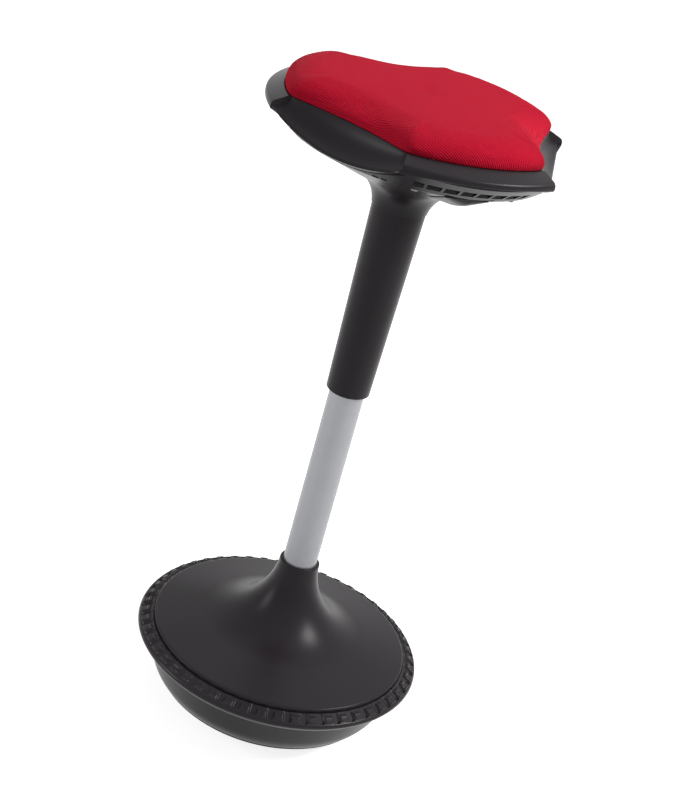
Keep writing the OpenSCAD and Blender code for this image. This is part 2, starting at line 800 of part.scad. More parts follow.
// Flange of one lobe, turned round the lobe's own centre: its top, then what lies under it
tray_at = lobe_arc_r - flange_w;
function flange_top() = concat(
    [[tray_at, shelf_z - pan_wall], [tray_at, flange_top_z - tray_lip_drop],
     [tray_at + tray_lip, flange_top_z]],
    arc([lobe_arc_r - ridge_round,
         ridge_z + ridge_round * (tan(flange_slope) - 1 / cos(flange_slope))],
        ridge_round, 90 - flange_slope, 0, arc_steps / 2),
    [[lobe_arc_r, skirt_z]]);
module lobe_revolve(points) {
    translate([-lobe_shift, 0, 0]) rotate_extrude() polygon(points);
}
module flanges() {
    sunk = pan_wall / cos(flange_slope);
    per_lobe() {
        intersection() {
            wedge(lobe_half + end_wall_out, crown_z);
            lobe_revolve(concat(flange_top(), [
                [lobe_arc_r - pan_wall, skirt_z],
                [lobe_arc_r - pan_wall, ridge_z + pan_wall * tan(flange_slope) - sunk],
                [tray_at + pan_wall, flange_top_z - (pan_wall - tray_lip) * tan(flange_slope) - sunk],
                [tray_at + pan_wall, shelf_z - pan_wall]]));
        }
        difference() {
            intersection() {
                wedge(lobe_half + end_wall_out, crown_z);
                lobe_revolve(concat(flange_top(), [
                    [lobe_arc_r - end_wall_in, skirt_z],
                    [lobe_arc_r - end_wall_w, skirt_z - end_wall_drop]]));
            }
            wedge(lobe_half - end_wall_back, crown_z + overrun);
        }
    }
}

// Recesses: outlines as [distance from the column, height] at the middle of a recess, swept
// round an axis that leans in, so that each rim rises and draws in towards its ends
function sweep_at(p) =
    let (x = p[0] - recess_x, z = p[1] - recess_rim_z)
    [sweep_r + x * sin(recess_lean) - z * cos(recess_lean),
     x * cos(recess_lean) + z * sin(recess_lean)];
cove_top = sweep_at([notch_r - cove_back, shelf_z]);
cove_rim = sweep_at([recess_x, recess_rim_z]);
cove_bend = sweep_at([recess_x - cove_bend_in, recess_rim_z + cove_bend_up]);
band_foot = sweep_at([recess_x - band_in, recess_rim_z - band_h]);
function cove(t, d) =
    let (slope = (1 - t) * (cove_bend - cove_top) + t * (cove_rim - cove_bend))
    (1 - t) * (1 - t) * cove_top + 2 * t * (1 - t) * cove_bend + t * t * cove_rim
    + d * [slope[1], -slope[0]] / norm(slope);
band_line = band_foot - cove_rim;
function cove_back_line(d) = concat(
    [cove_top + [-sweep_fill, -d]],
    [for (i = [0 : cove_steps]) cove(cove_inner_end * i / cove_steps, d)],
    [band_foot + d * [band_line[1], -band_line[0]] / norm(band_line)]);
module swept(points) {
    translate([recess_x, 0, recess_rim_z]) rotate([0, -recess_lean, 0])
        translate([0, 0, sweep_r]) rotate([0, 90, 0]) rotate_extrude() polygon(points);
}
module recess_walls() {
    out = cove_rim - band_over * band_line;
    per_recess() intersection() {
        wedge(recess_half - wall_turn_gap, shelf_z - pan_wall / 2);
        swept(concat(cove_back_line(pan_wall),
                     [band_foot, out, [cove_top[0] - sweep_fill, out[1]]]));
    }
}
module recess_cuts() {
    per_recess() intersection() {
        wedge(recess_half, crown_z + overrun);
        swept(concat([[0, cove_top[1]]], [for (i = [0 : cove_steps]) cove(i / cove_steps, 0)],
                     [[cove_rim[0], wedge_r], [0, wedge_r]]));
    }
}
module recess_room() {
    back = cove_back_line(pan_wall + room_gap);
    low = band_foot[0] + skirt_gap;
    per_recess() intersection() {
        wedge(recess_half + end_wall_back + wedge_gap, crown_z + overrun);
        swept(concat([[0, back[0][1]]], back, [[low, back[len(back) - 1][1]],
                                               [low, wedge_r], [0, wedge_r]]));
    }
}

module vent(a, width, r_in, r_out) {
    rotate(a - width / 2) translate([0, 0, seam_z]) rotate_extrude(angle = width)
        translate([r_in, 0]) square([r_out - r_in, crown_z - seam_z]);
}

module vents() {
    for (i = [0 : lobe_count - 1]) {
        lobe = lever_az + i * lobe_turn;
        for (k = [0 : vent_count - 1]) {
            end_cut = k == 0 || k == vent_count - 1 ? end_vent_cut : 0;
            off = (k - (vent_count - 1) / 2) * vent_pitch;
            shift = off < 0 ? end_cut / 2 : -end_cut / 2;
            vent(lobe + off + shift, vent_pitch - vent_bar - end_cut, seat_r - vent_in,
                 seat_r - vent_in + vent_len);
        }
        for (side = [-1, 1]) for (k = [0 : low_vent_count - 1])
            vent(lobe + lobe_turn / 2 + side * (low_vent_at + (k - 0.5) * low_vent_pitch),
                 low_vent_pitch - vent_bar, seat_r - low_vent_in,
                 seat_r - low_vent_in + low_vent_len);
    }
}

module at_bowl_screws() {
    for (i = [0 : lobe_count - 1]) for (side = [-1, 1])
        rotate(lever_az + i * lobe_turn + side * bowl_screw_off)
            translate([bowl_screw_circle, 0, 0]) children();
}
bowl_screw_z = floor_start[1] + (bowl_screw_circle - floor_start[0]) * tan(bowl_slope);
bowl_boss_top_z = bowl_screw_z + pan_wall + screw_boss_h;

module paddle_window() {
    rotate(lever_az) translate([paddle_x, 0, seam_z]) linear_extrude(crown_z - seam_z)
        square([paddle_len + 2 * window_gap, paddle_w + 2 * window_gap], center = true);
}

module lower_bowl() {
    color([0.15, 0.15, 0.16]) difference() {
        union() {
            difference() {
                intersection() {
                    rotate_extrude()
                        polygon(concat(bowl_line(0, reach_r), flip(bowl_line(pan_wall, reach_r))));
                    translate([0, 0, seam_z]) linear_extrude(skirt_z + skirt_cover - seam_z)
                        lobe_plan(pan_wall + skirt_gap);
                }
                recess_room();
                vents();
                paddle_window();
            }
            at_bowl_screws() translate([0, 0, bowl_screw_z + screw_head_t])
                cylinder(r = screw_boss_r, h = bowl_boss_top_z - bowl_screw_z - screw_head_t,
                         $fn = 32);
        }
        at_bowl_screws() {
            translate([0, 0, bowl_screw_z - 2 * screw_head_t])
                cylinder(r = screw_r + shell_gap, h = bowl_boss_top_z, $fn = 24);
            translate([0, 0, bowl_screw_z - 2 * screw_head_t])
                cylinder(r = screw_head_r + shell_gap, h = 3 * screw_head_t, $fn = 32);
        }
    }
}

module bowl_screws() {
    color([0.55, 0.56, 0.58]) at_bowl_screws() translate([0, 0, bowl_screw_z + screw_head_t])
        screw(screw_head_r, screw_head_t, screw_r,
              bowl_boss_top_z - bowl_screw_z - screw_head_t + screw_bite);
}

module in_lever_frame() {
    rotate(lever_az) children();
}
module at_seat_bolts() {
    in_lever_frame() for (x = [-1, 1]) for (y = [-1, 1])
        translate([x * seat_bolt_x, y * seat_bolt_y, 0]) children();
}

module upper_pan() {
    under = shelf_z - pan_wall;
    color([0.20, 0.20, 0.21]) difference() {
        union() {
            translate([0, 0, under]) linear_extrude(pan_wall) difference() {
                lobe_plan(flange_w - tray_bite);
                circle(r = shelf_hole_r);
            }
            flanges();
            recess_walls();
            at_seat_bolts() translate([0, 0, plate_z + plate_t])
                cylinder(r = seat_boss_r, h = under - plate_z - plate_t + overrun, $fn = 48);
            at_bowl_screws() translate([0, 0, bowl_boss_top_z])
                cylinder(r = screw_boss_r, h = under - bowl_boss_top_z + overrun, $fn = 32);
        }
        recess_cuts();
        at_seat_bolts() translate([0, 0, plate_z])
            cylinder(r = seat_bolt_r, h = plate_t + seat_bolt_bite, $fn = 32);
        at_bowl_screws() translate([0, 0, bowl_boss_top_z - overrun])
            cylinder(r = screw_r, h = screw_bite + overrun, $fn = 24);
        around(board_screw_count, board_screw_circle) translate([0, 0, under - overrun])
            cylinder(r = screw_r + shell_gap, h = pan_wall + 2 * overrun, $fn = 24);
    }
}

// Steel seat plate: flat top, folded channel and taper socket

module taper_room() {
    foot_z = cyl_top_z - taper_len;
    rotate_extrude() polygon([
        [0, foot_z], [cyl_r, foot_z], [cyl_r - taper_fall, cyl_top_z], [0, cyl_top_z]]);
}

module seat_plate() {
    color([0.35, 0.36, 0.38]) difference() {
        union() {
            in_lever_frame() {
                translate([-plate_half_x, -plate_half_y, plate_z])
                    cube([2 * plate_half_x, 2 * plate_half_y, plate_t]);
                for (side = [-1, 1])
                    translate([-channel_half_x,
                               side > 0 ? channel_half_y - channel_wall : -channel_half_y,
                               channel_z])
                        cube([2 * channel_half_x, channel_wall, plate_z - channel_z + plate_t]);
                translate([-channel_half_x, -channel_half_y, channel_z])
                    cube([2 * channel_half_x, 2 * channel_half_y, channel_wall]);
            }
            translate([0, 0, plate_socket_z])
                cylinder(r = plate_socket_r, h = channel_z + channel_wall - plate_socket_z);
        }
        taper_room();
        at_seat_bolts() translate([0, 0, plate_z - overrun])
            cylinder(r = seat_bolt_r + shell_gap, h = plate_t + 2 * overrun, $fn = 32);
        in_lever_frame() translate([pivot_x, 0, pivot_z]) rotate([90, 0, 0])
            cylinder(r = pivot_pin_r, h = 2 * channel_half_y + 2 * overrun, center = true, $fn = 48);
    }
}

module seat_bolts() {
    color([0.60, 0.61, 0.63]) at_seat_bolts() translate([0, 0, plate_z])
        screw(seat_bolt_r * bolt_head_share, seat_bolt_head_t, seat_bolt_r,
              plate_t + seat_bolt_bite);
}

// Release lever

module lever_pin() {
    color([0.75, 0.75, 0.77]) in_lever_frame() translate([pivot_x, 0, pivot_z])
        rotate([90, 0, 0])
            cylinder(r = pivot_pin_r, h = 2 * channel_half_y, center = true, $fn = 48);
}

module lever_spring() {
    color([0.70, 0.70, 0.72]) in_lever_frame()
        translate([pivot_x, pivot_boss_half + spring_gap, pivot_z])
        rotate([-90, 0, 0]) difference() {
            cylinder(r = spring_r, h = spring_len, $fn = 48);
            translate([0, 0, -overrun])
                cylinder(r = pivot_pin_r, h = spring_len + 2 * overrun, $fn = 48);
        }
}

module release_lever() {
    bar_z = pin_top_z + arm_gap;
    color([0.38, 0.39, 0.41]) in_lever_frame() difference() {
        union() {
            translate([-arm_inner, -arm_w / 2, bar_z])
                cube([paddle_x + paddle_len / 2 - arm_foot_w + arm_inner, arm_w, arm_t]);
            translate([pivot_x, 0, pivot_z]) rotate([90, 0, 0])
                cylinder(r = pivot_boss_r, h = 2 * pivot_boss_half, center = true);
        }
        translate([pivot_x, 0, pivot_z]) rotate([90, 0, 0])
            cylinder(r = pivot_pin_r + fit_gap, h = 3 * pivot_boss_half, center = true, $fn = 48);
    }
}

paddle_z = floor_start[1] + (paddle_x - floor_start[0]) * tan(bowl_slope);
module paddle_form() {
    px = paddle_len / 2 - paddle_round;
    py = paddle_w / 2 - paddle_round;
    hull() {
        for (x = [-px, px]) for (y = [-py, py])
            translate([x, y, 0]) cylinder(r = paddle_round, h = paddle_t / 2, $fn = 32);
        for (x = [-keel_half, keel_half])
            translate([x, 0, 0]) scale([1, 1, paddle_drop / keel_r]) sphere(r = keel_r, $fn = 32);
    }
}

module release_paddle() {
    bar_z = pin_top_z + arm_gap;
    color([0.12, 0.12, 0.13]) in_lever_frame() difference() {
        union() {
            translate([paddle_x, 0, paddle_z]) rotate([0, -bowl_slope, 0]) paddle_form();
            translate([paddle_x - arm_foot_w / 2, -arm_foot_w / 2, paddle_z])
                cube([arm_foot_w, arm_foot_w, bar_z + arm_t + arm_cap - paddle_z]);
        }
        translate([0, -arm_w / 2, bar_z])
            cube([paddle_x + paddle_len / 2 - arm_foot_w, arm_w, arm_t]);
    }
}

// Cushion: three lobes with the flange's own centres, cut by shallow notches

function notch_angle(a) = abs(a - lobe_turn * round(a / lobe_turn));
function lobe_edge_r(m) = sqrt(pow(cushion_arc_r, 2) - pow(lobe_shift * sin(m), 2))
                          - lobe_shift * cos(m);
shoulder_r = lobe_edge_r(lobe_turn / 2 - notch_half);
notch_bend = (shoulder_r * cos(notch_half) - notch_r) / pow(shoulder_r * sin(notch_half), 2);
function notch_edge_r(n) =
    let (room = pow(cos(n), 2) - 4 * notch_bend * notch_r * pow(sin(n), 2))
    2 * notch_r / (cos(n) + sqrt(max(room, 0)));
function edge_r(a) =
    let (n = notch_angle(a)) soft_min(notch_edge_r(n), lobe_edge_r(lobe_turn / 2 - n));
function soft_min(p, q) = -notch_round * ln(exp(-p / notch_round) + exp(-q / notch_round));

// Side rings of the cushion, drawn in by d all over: offset, height and the share of the rise
// from that height to the brow, which is lower at the notches
function notch_share(a) = (1 - cos(lobe_count * (a - lever_az))) / 2;
function brow_at(a) = brow_z - (brow_z - notch_brow_z) * notch_share(a);
side_rise_z = shelf_z + (brow_z - shelf_z) * side_rise_share;
function brow_ring(d, i) =
    let (a = 90 * i / brow_steps)
    [-d - (brow_r - d) * (1 - pow(max(cos(a), 0), brow_power)), side_rise_z, sin(a)];
function foot_rings(d, foot_z) = [
    [-draw_in - d, foot_z, 0],
    [-draw_in * foot_draw_share - d, shelf_z + (side_rise_z - shelf_z) * foot_rise_share, 0]];
function brow_rings(d, from) = [for (i = [from : brow_steps]) brow_ring(d, i)];
function ring_r(a, s) = edge_r(a) + s[0] + notch_swell * notch_share(a) * s[2];

// Points of a dome over the given side rings, its crown point last
function dome_points(d, sides) = concat(
    [for (s = sides) for (j = [0 : ring_steps - 1])
        let (a = 360 * j / ring_steps)
        concat(polar(ring_r(a, s), a), [s[1] + (brow_at(a) - d - s[1]) * s[2]])],
    [for (i = [1 : crown_steps]) for (j = [0 : ring_steps - 1])
        let (a = 360 * j / ring_steps, share = 1 - i / (crown_steps + 1))
        concat(polar(ring_r(a, [-brow_r, 0, 1]) * share, a),
               [crown_z - d - (crown_z - brow_at(a)) * share * share])],
    [[0, 0, crown_z - d]]);
function dome_ring_count(sides) = len(sides) + crown_steps;
function band(a, b) = [for (j = [0 : ring_steps - 1]) let (k = (j + 1) % ring_steps)
    each [[a + j, b + j, b + k], [a + j, b + k, a + k]]];
function dome_faces(sides, first) =
    let (m = ring_steps, rings = dome_ring_count(sides), top = first + rings * m)
    concat([for (k = [0 : rings - 2]) each band(first + k * m, first + (k + 1) * m)],
           [for (j = [0 : m - 1]) [top - m + j, top, top - m + (j + 1) % m]]);
function turned(faces) = [for (f = faces) [f[2], f[1], f[0]]];

module cushion_outline(d) {
    polygon([for (j = [0 : ring_steps - 1]) polar(edge_r(360 * j / ring_steps) - d,
                                                  360 * j / ring_steps)]);
}

board_z = shelf_z + cover_cloth_t;
module cushion_board() {
    color([0.74, 0.60, 0.42]) difference() {
        translate([0, 0, board_z]) linear_extrude(board_t)
            cushion_outline(draw_in + cover_cloth_t + board_gap);
        around(board_screw_count, board_screw_circle) translate([0, 0, board_z - overrun])
            cylinder(r = screw_r, h = board_screw_bite + overrun, $fn = 24);
    }
}

module board_screws() {
    color([0.55, 0.56, 0.58]) around(board_screw_count, board_screw_circle)
        translate([0, 0, shelf_z - pan_wall])
            screw(screw_head_r, screw_head_t, screw_r,
                  pan_wall + cover_cloth_t + board_screw_bite);
}

module foam_pad() {
    d = cover_cloth_t + foam_gap;
    sides = concat([[-d, board_z + board_t, 0]], brow_rings(d, 1));
    points = concat(dome_points(d, sides), [[0, 0, board_z + board_t]]);
    last = len(points) - 1;
    color([0.85, 0.82, 0.70]) polyhedron(points, concat(dome_faces(sides, 0),
        [for (j = [0 : ring_steps - 1]) [j, (j + 1) % ring_steps, last]]), convexity = 4);
}

module fabric_cover() {
    outer = concat([[-cloth_wrap, shelf_z, 0]], foot_rings(0, shelf_z), brow_rings(0, 0));
    inner = concat([[-cloth_wrap, board_z, 0]], foot_rings(cover_cloth_t, board_z),
                   brow_rings(cover_cloth_t, 0));
    first = dome_ring_count(outer) * ring_steps + 1;
    color([0.76, 0.11, 0.20]) polyhedron(
        concat(dome_points(0, outer), dome_points(cover_cloth_t, inner)),
        concat(dome_faces(outer, 0), turned(dome_faces(inner, first)), band(first, 0)),
        convexity = 4);
}

rubber_sole();
base_shell();
ballast_disc();
base_plate();
base_bolts();
tread_ring();
base_cover();
outer_tube();
tube_plug();
lower_race();
guide_bush();
bearing_cage();
bearing_balls();
upper_race();
rod_clip();
piston_rod();
bump_stop();
piston_head();
gas_cylinder();
rod_seal();
valve_body();
valve_pin();
seat_plate();
seat_bolts();
sleeve();
lower_bowl();
bowl_screws();
upper_pan();
cushion_board();
board_screws();
foam_pad();
fabric_cover();
lever_pin();
lever_spring();
release_lever();
release_paddle();
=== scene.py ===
import json
import math

import bpy
from mathutils import Matrix, Vector


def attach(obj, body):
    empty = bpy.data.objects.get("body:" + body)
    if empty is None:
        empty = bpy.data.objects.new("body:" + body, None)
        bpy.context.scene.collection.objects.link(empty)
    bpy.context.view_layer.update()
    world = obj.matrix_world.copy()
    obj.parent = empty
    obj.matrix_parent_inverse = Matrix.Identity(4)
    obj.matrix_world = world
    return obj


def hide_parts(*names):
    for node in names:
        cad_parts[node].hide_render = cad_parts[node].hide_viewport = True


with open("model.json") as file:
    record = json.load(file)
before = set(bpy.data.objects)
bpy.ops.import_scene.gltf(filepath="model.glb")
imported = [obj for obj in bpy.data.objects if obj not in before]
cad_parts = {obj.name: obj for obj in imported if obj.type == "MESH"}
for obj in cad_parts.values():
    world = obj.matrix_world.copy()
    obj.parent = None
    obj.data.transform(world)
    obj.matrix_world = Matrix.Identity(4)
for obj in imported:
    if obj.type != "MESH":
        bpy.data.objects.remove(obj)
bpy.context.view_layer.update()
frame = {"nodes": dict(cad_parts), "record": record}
scene = bpy.context.scene
nodes = frame["nodes"]
mm = 0.001
tiny = 1e-6                  # keeps a division from meeting zero
print("frame loaded:", len(nodes), "nodes")


# Camera, solved from the outlines of the base, the column and the seat

camera = {
    "focalPixels": 1680.76,
    "frameWidth": 700,
    "frameHeight": 800,
    "distance": 2.0891,
    "aimHeight": 0.3075,
    "heading": 2.4,          # degrees round the column, from straight in front
    "elevation": 28.657,
    "roll": 15.706,
    "yaw": 0.169,
    "pitch": 3.458,
    "sensorWidth": 36.0,
    "clip": (0.01, 100),
}


def makeCamera(spec):
    heading, elevation = math.radians(spec["heading"]), math.radians(spec["elevation"])
    turn = Matrix.Rotation(heading, 3, "Z")
    place = turn @ Vector((0, -spec["distance"] * math.cos(elevation), 0))
    place.z = spec["aimHeight"] + spec["distance"] * math.sin(elevation)
    ahead = turn @ Vector((0, math.cos(elevation), -math.sin(elevation)))
    right = turn @ Vector((1, 0, 0))
    up = right.cross(ahead)
    ahead = ahead + right * math.tan(math.radians(spec["yaw"]))
    ahead = (ahead + up * math.tan(math.radians(spec["pitch"]))).normalized()
    right = ahead.cross(up).normalized()
    up = right.cross(ahead)
    roll = math.radians(spec["roll"])
    side = right * math.cos(roll) + up * math.sin(roll)
    top = up * math.cos(roll) - right * math.sin(roll)
    data = bpy.data.cameras.new("camera")
    data.sensor_width = spec["sensorWidth"]
    longSide = max(spec["frameWidth"], spec["frameHeight"])
    data.lens = spec["focalPixels"] / longSide * spec["sensorWidth"]
    data.clip_start, data.clip_end = spec["clip"]
    item = bpy.data.objects.new("camera", data)
    scene.collection.objects.link(item)
    axes = Matrix((side, top, -ahead)).transposed()
    item.matrix_world = Matrix.Translation(place) @ axes.to_4x4()
    scene.camera = item


makeCamera(camera)
scene.view_settings.view_transform = "Standard"
print("camera placed")


# Shader maths

class Value:                                   # one socket, so that shader sums read as sums
    def __init__(self, paint, socket):
        self.paint, self.socket = paint, socket

    def __add__(self, other):
        return self.paint.maths("ADD", self, other)

    def __radd__(self, other):
        return self.paint.maths("ADD", other, self)

    def __sub__(self, other):
        return self.paint.maths("SUBTRACT", self, other)

    def __rsub__(self, other):
        return self.paint.maths("SUBTRACT", other, self)

    def __mul__(self, other):
        return self.paint.maths("MULTIPLY", self, other)

    def __rmul__(self, other):
        return self.paint.maths("MULTIPLY", other, self)


class Paint:                                   # the nodes of one material, or of the world
    def __init__(self, owner):
        self.owner = owner
        self.owner.use_nodes = True
        self.tree = self.owner.node_tree
        self.tree.nodes.clear()

    def node(self, kind, settings=None, inputs=None, output=0):
        made = self.tree.nodes.new(kind)
        for key, value in (settings or {}).items():
            setattr(made, key, value)
        pairs = inputs.items() if isinstance(inputs, dict) else enumerate(inputs or [])
        for key, value in pairs:
            self.feed(made.inputs[key], value)
        return Value(self, made.outputs[output]) if made.outputs else None

    def feed(self, socket, value):
        if isinstance(value, Value):
            self.tree.links.new(value.socket, socket)
        else:
            socket.default_value = value

    def maths(self, operation, *values):
        return self.node("ShaderNodeMath", {"operation": operation}, values)

    def where(self):                           # place on the piece, in metres
        return self.node("ShaderNodeTexCoord", output="Object")

    def stored(self, name):                    # a vector kept on the points of the mesh
        return self.node("ShaderNodeAttribute", {"attribute_name": name}, output="Vector")

    def part(self, vector, axis):
        return self.node("ShaderNodeSeparateXYZ", inputs=[vector], output=axis)

    def noise(self, vector, size, detail=2):
        return self.node("ShaderNodeTexNoise", inputs={
            "Vector": vector, "Scale": 1 / size, "Detail": detail})

    def wave(self, value, pitch):              # from 1 to 0 and back in one pitch
        return self.maths("COSINE", value * (2 * math.pi / pitch)) * 0.5 + 0.5

    def blend(self, share, first, second):     # colours only
        return self.node("ShaderNodeMix", {"data_type": "RGBA"}, {0: share, 6: first, 7: second},
                         output=2)

    def bump(self, height, distance):
        return self.node("ShaderNodeBump", inputs={
            "Strength": 1, "Distance": distance, "Height": height})

    def seen(self):                            # 1 for what the camera, a mirror or glass shows
        camera, glossy, through = [self.node("ShaderNodeLightPath", output="Is %s Ray" % ray)
                                   for ray in ("Camera", "Glossy", "Transmission")]
        return self.maths("MAXIMUM", camera, self.maths("MAXIMUM", glossy, through))

    def surface(self, sockets):
        return self.finish(self.node("ShaderNodeBsdfPrincipled", inputs=sockets))

    def finish(self, shader, kind="ShaderNodeOutputMaterial"):
        self.node(kind, inputs=[shader])
        return self.owner


def colour(red, green, blue):
    return (red, green, blue, 1.0)


def grey(level):
    return colour(level, level, level)


# Finishes: two colours mixed in clouds, with a fine grain; sizes in metres

finishes = {
    "black_plastic": {
        "colours": ((0.0195, 0.0155, 0.0190), (0.024, 0.020, 0.0235)), "cloud": 0.05,
        "roughness": 0.32, "grain": 0.0009, "grainHeight": 0.00004, "specular": 0.13},
    "tread_plastic": {
        "colours": ((0.0175, 0.0140, 0.0170), (0.022, 0.018, 0.0215)), "cloud": 0.03,
        "roughness": 0.28, "grain": 0.0007, "grainHeight": 0.00003, "specular": 0.18},
    "sole_rubber": {
        "colours": ((0.016, 0.016, 0.016), (0.024, 0.023, 0.022)), "cloud": 0.03,
        "roughness": 0.75, "grain": 0.0012, "grainHeight": 0.00008},
    "ballast_iron": {
        "colours": ((0.06, 0.055, 0.05), (0.11, 0.10, 0.095)), "cloud": 0.02,
        "roughness": 0.7, "grain": 0.0025, "grainHeight": 0.0002, "metallic": 0.6},
    "plate_steel": {
        "colours": ((0.30, 0.30, 0.31), (0.38, 0.38, 0.38)), "cloud": 0.02,
        "roughness": 0.4, "grain": 0.0008, "grainHeight": 0.00003, "metallic": 0.9},
    "zinc_steel": {
        "colours": ((0.15, 0.15, 0.155), (0.22, 0.22, 0.215)), "cloud": 0.006,
        "roughness": 0.33, "grain": 0.0008, "grainHeight": 0.00002, "metallic": 0.9},
    "silver_tube": {
        "colours": ((0.335, 0.338, 0.358), (0.375, 0.378, 0.398)), "cloud": 0.03,
        "roughness": 0.38, "grain": 0.0006, "grainHeight": 0.000012, "metallic": 0.5},
    "bearing_steel": {
        "colours": ((0.45, 0.45, 0.46), (0.52, 0.52, 0.52)), "cloud": 0.01,
        "roughness": 0.22, "grain": 0.0006, "grainHeight": 0.00001, "metallic": 1.0},
    "bush_plastic": {
        "colours": ((0.55, 0.54, 0.50), (0.62, 0.61, 0.57)), "cloud": 0.02,
        "roughness": 0.45, "grain": 0.0008, "grainHeight": 0.00003},
    "cage_brass": {
        "colours": ((0.55, 0.38, 0.14), (0.62, 0.45, 0.19)), "cloud": 0.01,
        "roughness": 0.35, "grain": 0.0006, "grainHeight": 0.00002, "metallic": 0.95},
    "rod_chrome": {
        "colours": ((0.62, 0.62, 0.63), (0.68, 0.68, 0.68)), "cloud": 0.02,
        "roughness": 0.14, "grain": 0.0005, "grainHeight": 0.000005, "metallic": 1.0},
    "cylinder_paint": {
        "colours": ((0.02, 0.02, 0.021), (0.028, 0.028, 0.03)), "cloud": 0.03,
        "roughness": 0.38, "grain": 0.0012, "grainHeight": 0.00003},
    "board_wood": {
        "colours": ((0.42, 0.28, 0.15), (0.56, 0.40, 0.24)), "cloud": 0.012,
        "roughness": 0.7, "grain": 0.0015, "grainHeight": 0.0001},
    "foam": {
        "colours": ((0.66, 0.62, 0.45), (0.74, 0.70, 0.54)), "cloud": 0.01,
        "roughness": 0.9, "grain": 0.0012, "grainHeight": 0.0003},
}
finishDefaults = {
    "metallic": 0.0,
    "specular": 0.5,
    "roughSpread": 0.05,     # how far grain and clouds each move the roughness
    "grainDetail": 3,
}


def makeFinish(name, values):
    spec = {**finishDefaults, **values}
    paint = Paint(bpy.data.materials.new(name))
    place = paint.where()
    grain = paint.noise(place, spec["grain"], spec["grainDetail"])
    cloud = paint.noise(place, spec["cloud"])
    first, second = spec["colours"]
    return paint.surface({
        "Base Color": paint.blend(cloud, colour(*first), colour(*second)),
        "Metallic": spec["metallic"],
        "Specular IOR Level": spec["specular"],
        "Roughness": spec["roughness"] + (grain + cloud - 1) * spec["roughSpread"],
        "Normal": paint.bump(grain, spec["grainHeight"])})


# The knit: fine ribs that run across the seat in one direction and over its sides, with painted
# shade in their valleys

knit = {
    "colour": (0.68, 0.008, 0.038),
    # painted shade: the colour of the rib and stitch valleys, darker than the ridges
    "valleyPaintedShade": (0.37, 0.004, 0.018),
    "ribPitch": 0.0026,
    "ribHeight": 0.00035,
    "ribTurn": -111,         # bearing across the ribs, degrees
    "wanderSize": 0.02,      # the ribs stray sideways over this length
    "wanderReach": 0.0012,
    "stitchPitch": 0.0022,
    "stitchHeight": 0.00015,
    "stitchShift": 0.0006,   # along the rib, between its valley and its ridge
    "fuzzSize": 0.0007,
    "fuzzHeight": 0.00008,
    "fuzzDetail": 3,
    "shadeAndFuzzShares": (0.6, 0.15, 0.25),           # of the rib's and stitch's painted shade and of the random fuzz in the colour
    "roughness": 0.8,
    "roughSpread": 0.1,
    "specular": 0.06,
    "sheen": 0.03,
    "sheenRoughness": 0.4,
}


def makeKnit(name, spec):
    paint = Paint(bpy.data.materials.new(name))
    weave, place = paint.stored("weave"), paint.where()
    fuzz = paint.noise(place, spec["fuzzSize"], spec["fuzzDetail"])
    wander = paint.noise(place, spec["wanderSize"]) * spec["wanderReach"]
    rib = paint.wave(paint.part(weave, "X") + wander, spec["ribPitch"])
    stitch = paint.wave(paint.part(weave, "Y") + rib * spec["stitchShift"], spec["stitchPitch"])
    height = (rib * spec["ribHeight"] + stitch * rib * spec["stitchHeight"]
              + fuzz * spec["fuzzHeight"])
    # painted shade: the colour darkens with the relief into the rib and stitch valleys; the fuzz
    # adds random tone
    ribShadeShare, stitchShadeShare, fuzzShare = spec["shadeAndFuzzShares"]
    shadeAndFuzz = rib * ribShadeShare + stitch * stitchShadeShare + fuzz * fuzzShare
    return paint.surface({
        "Base Color": paint.blend(shadeAndFuzz, colour(*spec["valleyPaintedShade"]), colour(*spec["colour"])),
        "Roughness": spec["roughness"] + (fuzz - 0.5) * spec["roughSpread"],
        "Specular IOR Level": spec["specular"],
        "Sheen Weight": spec["sheen"],
        "Sheen Roughness": spec["sheenRoughness"],
        "Normal": paint.bump(height, 1)})


materials = {name: makeFinish(name, values) for name, values in finishes.items()}
materials["red_knit"] = makeKnit("red_knit", knit)
slots = {part["node"]: part["material_slot"] for part in frame["record"]["subparts"]}
print("materials made:", len(materials))


# Mesh tools: sections in millimetres, joined into closed skins

def lerp(start, end, share):
    return start + (end - start) * share


def smooth(low, high, value):
    share = min(max((value - low) / (high - low), 0), 1)
    return share * share * (3 - 2 * share)


def polar(radius, bearing, height):
    turn = math.radians(bearing)
    return (radius * math.cos(turn), radius * math.sin(turn), height)


def arc(centre, radius, start, end, steps):
    turns = [math.radians(lerp(start, end, i / steps)) for i in range(steps + 1)]
    return [(centre[0] + radius * math.cos(t), centre[1] + radius * math.sin(t)) for t in turns]


def bendCorner(before, corner, after, trim, steps):   # a curve that cuts the corner off
    before, corner, after = Vector(before), Vector(corner), Vector(after)
    start = corner + (before - corner) * min(trim / max((before - corner).length, tiny), 1)
    end = corner + (after - corner) * min(trim / max((after - corner).length, tiny), 1)
    shares = [i / steps for i in range(steps + 1)]
    return [tuple(start.lerp(corner, s).lerp(corner.lerp(end, s), s)) for s in shares]


def skin(rows, ringed=True):                   # rows stand round the axis; a ringed row closes
    count, width = len(rows), len(rows[0])
    points = [point for row in rows for point in row]
    faces = []
    for i in range(count):
        for j in range(width if ringed else width - 1):
            k, m = (i + 1) % count, (j + 1) % width
            faces.append((i * width + j, k * width + j, k * width + m, i * width + m))
    return points, faces


def makePiece(name, skinned, body, slot, stands, crease):
    points, faces = skinned
    mesh = bpy.data.meshes.new(name)
    mesh.from_pydata([tuple(c * mm for c in p) for p in points], [], faces)
    mesh.shade_smooth()
    mesh.set_sharp_from_angle(angle=math.radians(crease))
    mesh.materials.append(materials[slot])
    item = bpy.data.objects.new(name, mesh)
    scene.collection.objects.link(item)
    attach(item, body)
    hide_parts(*stands)
    return item


# Base cover: collar, flared cone and shallow disc

